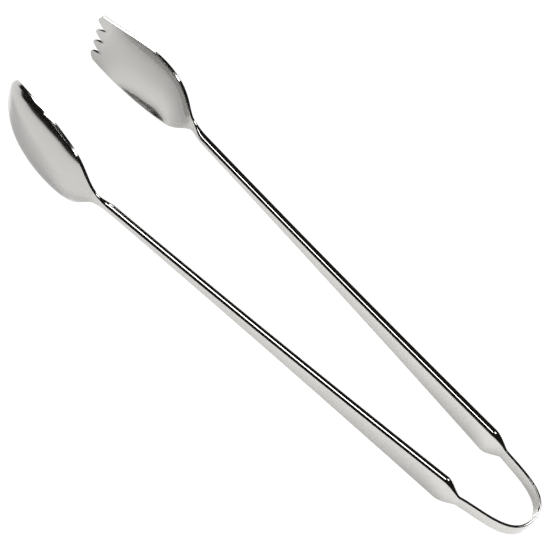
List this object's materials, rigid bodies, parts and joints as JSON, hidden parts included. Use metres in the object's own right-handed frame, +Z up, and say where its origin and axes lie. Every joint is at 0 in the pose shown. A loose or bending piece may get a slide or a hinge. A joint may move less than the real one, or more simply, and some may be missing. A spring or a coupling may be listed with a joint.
{
  "type": "serving tongs",
  "caption": "Sprung serving tongs of polished steel: an oval spoon head and a tined fork head on tapered flat arms joined by a thin U-shaped bow.",
  "frame": {"origin": "middle of the bounding box at the floor the tongs lie on, on their side", "axes": "+Y along the tongs from the bow to the heads, +X from the spoon arm to the fork arm, +Z up; the tongs' own middle plane is tilted 3.0 degrees about X because they rest on the rims of both heads and on the shoulders of both arms"},
  "size_m": [0.0642, 0.2504, 0.0339],
  "materials": {
    "polished_arm": "mirror-polished stainless steel with fine handling scratches",
    "polished_head": "buffed stainless steel, softly reflecting, with fine polishing marks",
    "sprung_bow": "polished spring-tempered stainless strip with bright edges"
  },
  "bodies": {
    "bow": {"spring_bow": "sprung_bow"},
    "spoon_side": {"spoon_arm_plate": "polished_arm", "spoon_arm_bar": "polished_arm", "spoon_bowl": "polished_head"},
    "fork_side": {"fork_arm_plate": "polished_arm", "fork_arm_bar": "polished_arm", "fork_bowl": "polished_head"}
  },
  "joints": [
    {"name": "spoon_arm_flex", "type": "hinge", "parent": "bow", "child": "spoon_side", "pos_m": [-0.01122, -0.11553, 0.00579], "axis": [0, 0.0524, -0.9986], "range_deg": [-3, 4.5], "stiffness_Nm_per_rad": 3.3, "deforming": ["spring_bow"]},
    {"name": "fork_arm_flex", "type": "hinge", "parent": "bow", "child": "fork_side", "pos_m": [0.00878, -0.11553, 0.00579], "axis": [0, -0.0524, 0.9986], "range_deg": [-3, 4.5], "stiffness_Nm_per_rad": 3.3, "deforming": ["spring_bow"]}
  ]
}
